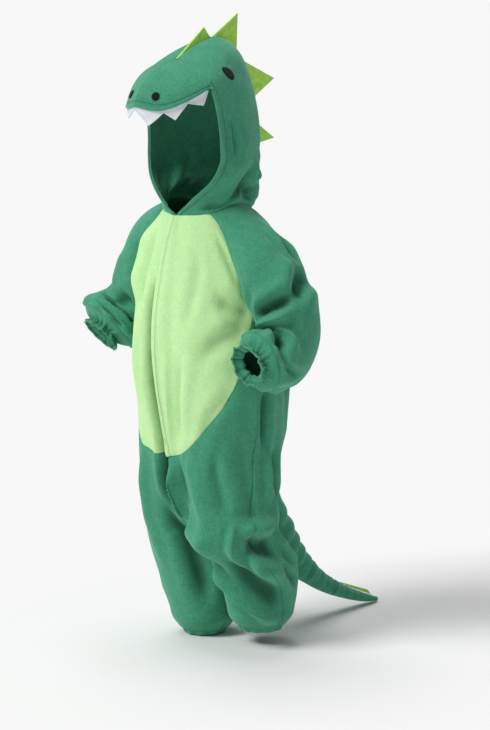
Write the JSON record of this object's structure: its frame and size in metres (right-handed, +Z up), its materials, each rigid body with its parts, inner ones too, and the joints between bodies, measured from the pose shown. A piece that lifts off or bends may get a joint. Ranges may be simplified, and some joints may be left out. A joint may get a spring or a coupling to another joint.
{
  "type": "toddler dinosaur costume",
  "caption": "Toddler's hooded fleece dinosaur jumpsuit in its worn pose, with snout brim, felt teeth and back spikes, gathered cuffs and a long tail.",
  "frame": {"origin": "inside the base of the neck at shoulder height, 0.600 m above the floor, where the wearer's shoulders hold the costume up", "axes": "+Z up, the front faces -Y, and the wearer's left is +X"},
  "size_m": [0.4049, 0.4728, 0.8718],
  "materials": {
    "fleece_green": "brushed fleece with a short nap",
    "fleece_lime": "brushed fleece with a short nap",
    "felt_lime": "matt pressed felt",
    "felt_white": "matt pressed felt",
    "felt_black": "matt pressed felt"
  },
  "bodies": {
    "root": {"belly_left": "fleece_lime", "belly_right": "fleece_lime", "front_leg_left": "fleece_green", "front_leg_right": "fleece_green", "back_left": "fleece_green", "back_right": "fleece_green", "sleeve_left": "fleece_green", "sleeve_right": "fleece_green", "cuff_left": "fleece_green", "cuff_right": "fleece_green", "leg_hem_left": "fleece_green", "leg_hem_right": "fleece_green", "hood_left": "fleece_green", "hood_right": "fleece_green", "hood_hem_left": "fleece_green", "hood_hem_right": "fleece_green", "snout_left": "fleece_green", "snout_right": "fleece_green", "tail_left": "fleece_green", "tail_right": "fleece_green", "teeth_left": "felt_white", "teeth_right": "felt_white", "spike_1": "felt_lime", "spike_2": "felt_lime", "spike_3": "felt_lime", "spike_4": "felt_lime", "tail_spike": "felt_lime", "eye_left": "felt_black", "eye_right": "felt_black", "nostril_left": "felt_black", "nostril_right": "felt_black"}
  },
  "joints": []
}
